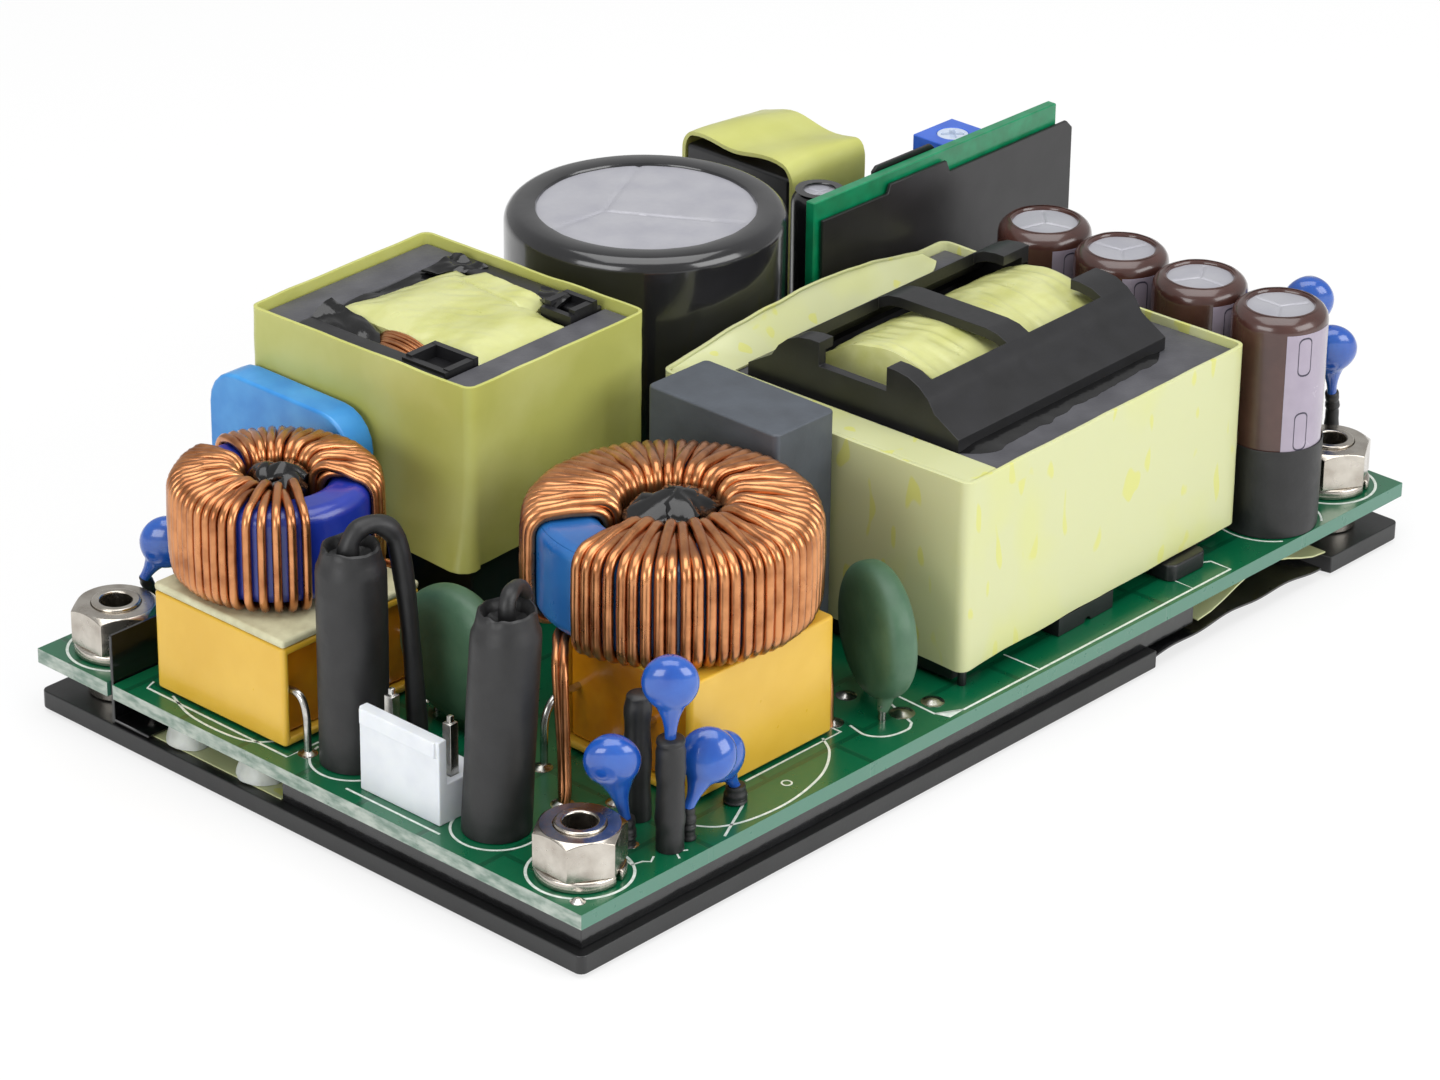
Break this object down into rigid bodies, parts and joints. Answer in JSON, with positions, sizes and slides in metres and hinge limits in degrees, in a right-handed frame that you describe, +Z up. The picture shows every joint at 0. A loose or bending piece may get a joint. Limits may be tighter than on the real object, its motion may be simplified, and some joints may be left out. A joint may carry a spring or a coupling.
{
  "type": "open frame power supply",
  "caption": "Open frame power supply: a dense green circuit board with chokes, transformers and capacitors, on studs above a flat black metal base plate.",
  "frame": {"origin": "middle of the base plate's underside, the lowest face", "axes": "+X along the board towards the output end, +Y across the board away from the main transformer's side, +Z up out of the plate"},
  "size_m": [0.127, 0.0762, 0.0386],
  "materials": {
    "plate_metal": "satin black",
    "stud_metal": "plated, bright",
    "black_film": "thin glossy film",
    "yellow_tape": "polyester tape",
    "white_sealant": "cured sealant",
    "green_board": "solder mask",
    "grey_pad": "soft",
    "black_mould": "moulded",
    "yellow_case": "moulded",
    "amber_epoxy": "poured",
    "tinned_wire": "tinned",
    "pale_pad": "soft",
    "royal_core": "coated",
    "mid_blue_core": "coated",
    "copper_wire": "enamelled",
    "gloss_divider": "glossy",
    "black_sleeve": "shrunk sleeve",
    "white_header": "moulded",
    "blue_coating": "dipped coating",
    "green_coating": "dipped coating",
    "sky_blue_coating": "dipped coating",
    "ferrite": "sintered ferrite",
    "can_metal": "bright",
    "charcoal_film": "shrunk film",
    "grey_case": "moulded",
    "brown_film": "shrunk film",
    "dark_card": "insulating card",
    "trimmer_case": "moulded",
    "trimmer_dial": "moulded"
  },
  "bodies": {
    "root": {"base_plate": "plate_metal", "standoff_studs": "stud_metal", "spring_washers": "stud_metal", "corner_nuts": "stud_metal", "insulating_film": "black_film", "insulating_tape": "yellow_tape", "edge_barrier": "black_film", "sealant_beads": "white_sealant", "main_board": "green_board", "thermal_pads": "grey_pad", "power_devices": "black_mould", "small_cap_case": "yellow_case", "small_cap_epoxy": "amber_epoxy", "small_cap_leads": "tinned_wire", "small_choke_pad": "pale_pad", "small_choke_core": "royal_core", "small_choke_winding_a": "copper_wire", "small_choke_winding_b": "copper_wire", "small_choke_divider": "gloss_divider", "large_cap_case": "yellow_case", "large_cap_epoxy": "amber_epoxy", "large_cap_leads": "tinned_wire", "large_choke_core": "mid_blue_core", "large_choke_winding_a": "copper_wire", "large_choke_winding_b": "copper_wire", "large_choke_divider": "gloss_divider", "choke_leads": "copper_wire", "fuse_sleeves": "black_sleeve", "fuse_leads": "black_sleeve", "header_housings": "white_header", "header_pins": "tinned_wire", "y_capacitors": "blue_coating", "y_cap_sleeves": "black_sleeve", "thermistor": "green_coating", "varistor": "green_coating", "film_capacitor": "sky_blue_coating", "boost_core": "ferrite", "boost_bobbin": "black_mould", "boost_coil": "yellow_tape", "boost_tape": "yellow_tape", "bulk_can": "can_metal", "bulk_sleeve": "charcoal_film", "grey_capacitor": "grey_case", "main_core": "ferrite", "main_bobbin": "black_mould", "main_coil": "yellow_tape", "main_tape": "yellow_tape", "main_pad": "pale_pad", "main_pins": "black_mould", "aux_core": "black_mould", "aux_tape": "yellow_tape", "small_can": "charcoal_film", "control_board": "green_board", "control_shields": "dark_card", "trimmer_body": "trimmer_case", "output_cans": "can_metal", "output_sleeves": "brown_film", "output_boot": "black_sleeve"},
    "rotor": {"trimmer_rotor": "trimmer_dial"}
  },
  "joints": [
    {"name": "trimmer_turn", "type": "hinge", "parent": "root", "child": "rotor", "pos_m": [0.0478, 0.01345, 0.0365], "axis": [0, 0, 1], "range_deg": [-130, 130]}
  ]
}
